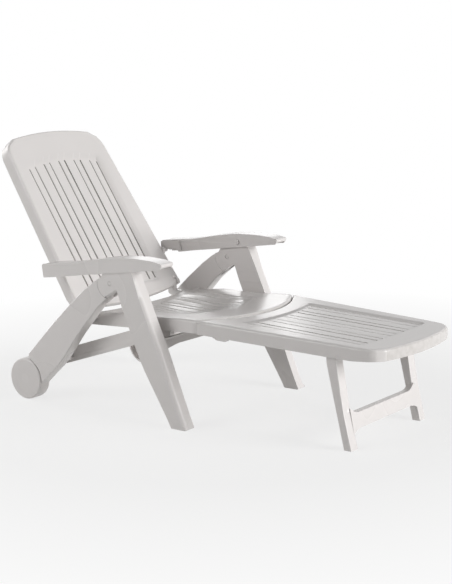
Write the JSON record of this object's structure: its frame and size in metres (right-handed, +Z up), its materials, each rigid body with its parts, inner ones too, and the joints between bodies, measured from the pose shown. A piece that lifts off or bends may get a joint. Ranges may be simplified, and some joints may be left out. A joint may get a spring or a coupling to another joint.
{
  "type": "deck chair",
  "caption": "Folding resin deck chair with slatted back, dished seat, legged footrest, notched armrests and two rear wheels.",
  "frame": {"origin": "on the floor, under the middle of the chair's length and width", "axes": "+X towards the sitter's feet, +Y to the sitter's left, +Z up"},
  "size_m": [1.621, 0.7, 0.9168],
  "materials": {
    "leg_resin": "semi-gloss white moulded resin, polished edges",
    "panel_resin": "semi-gloss white moulded resin with a fine grain",
    "armrest_resin": "semi-gloss white moulded resin",
    "brace_resin": "semi-gloss white moulded resin",
    "pin_resin": "smooth off-white moulded resin",
    "wheel_resin": "satin white moulded resin",
    "cap_resin": "semi-gloss white moulded resin"
  },
  "bodies": {
    "front_frame": {"front_leg_left": "leg_resin", "front_leg_right": "leg_resin", "front_stretcher": "leg_resin", "apex_pin_left": "pin_resin", "apex_pin_right": "pin_resin", "armrest_pin_left": "pin_resin", "armrest_pin_right": "pin_resin"},
    "rear_frame": {"rear_leg_left": "leg_resin", "rear_leg_right": "leg_resin", "seat_panel": "panel_resin", "brace_left": "brace_resin", "brace_right": "brace_resin", "brace_rear_pin_left": "pin_resin", "brace_rear_pin_right": "pin_resin", "brace_front_pin_left": "pin_resin", "brace_front_pin_right": "pin_resin", "seat_pin_left": "pin_resin", "seat_pin_right": "pin_resin", "wheel_axle_left": "pin_resin", "wheel_axle_right": "pin_resin", "backrest_pivot_pin_left": "pin_resin", "backrest_pivot_pin_right": "pin_resin", "footrest_hinge_pin_left": "pin_resin", "footrest_hinge_pin_right": "pin_resin"},
    "backrest": {"backrest_panel": "panel_resin", "armrest_peg_left": "pin_resin", "armrest_peg_right": "pin_resin"},
    "armrest_left": {"armrest_left": "armrest_resin"},
    "armrest_right": {"armrest_right": "armrest_resin"},
    "footrest": {"footrest_panel": "panel_resin", "footrest_leg_pin_left": "pin_resin", "footrest_leg_pin_right": "pin_resin"},
    "footrest_leg": {"footrest_leg_frame": "leg_resin"},
    "wheel_left": {"wheel_left": "wheel_resin", "wheel_cap_left": "cap_resin"},
    "wheel_right": {"wheel_right": "wheel_resin", "wheel_cap_right": "cap_resin"}
  },
  "joints": [
    {"name": "leg_fold", "type": "hinge", "parent": "front_frame", "child": "rear_frame", "pos_m": [-0.18535, 0, 0.457], "axis": [0, 1, 0], "range_deg": [-50, 0]},
    {"name": "recline", "type": "hinge", "parent": "rear_frame", "child": "backrest", "pos_m": [-0.40959, 0, 0.35047], "axis": [0, 1, 0], "range_deg": [0, 115]},
    {"name": "armrest_left_lift", "type": "hinge", "parent": "front_frame", "child": "armrest_left", "pos_m": [-0.13235, 0.32, 0.518], "axis": [0, 1, 0], "range_deg": [0, 50]},
    {"name": "armrest_right_lift", "type": "hinge", "parent": "front_frame", "child": "armrest_right", "pos_m": [-0.13235, -0.32, 0.518], "axis": [0, 1, 0], "range_deg": [0, 50]},
    {"name": "footrest_swing", "type": "hinge", "parent": "rear_frame", "child": "footrest", "pos_m": [0.20265, 0, 0.3105], "axis": [0, 1, 0], "range_deg": [0, 90]},
    {"name": "footrest_leg_fold", "type": "hinge", "parent": "footrest", "child": "footrest_leg", "pos_m": [0.61265, 0, 0.30795], "axis": [0, 1, 0], "range_deg": [0, 85]},
    {"name": "wheel_left_spin", "type": "hinge", "parent": "rear_frame", "child": "wheel_left", "pos_m": [-0.60035, 0.315, 0.0735], "axis": [0, 1, 0], "continuous": true},
    {"name": "wheel_right_spin", "type": "hinge", "parent": "rear_frame", "child": "wheel_right", "pos_m": [-0.60035, -0.315, 0.0735], "axis": [0, 1, 0], "continuous": true}
  ],
  "couplings": [
    {"joint": "armrest_left_lift", "follows": "recline", "ratio": 0.42},
    {"joint": "armrest_right_lift", "follows": "recline", "ratio": 0.42}
  ]
}
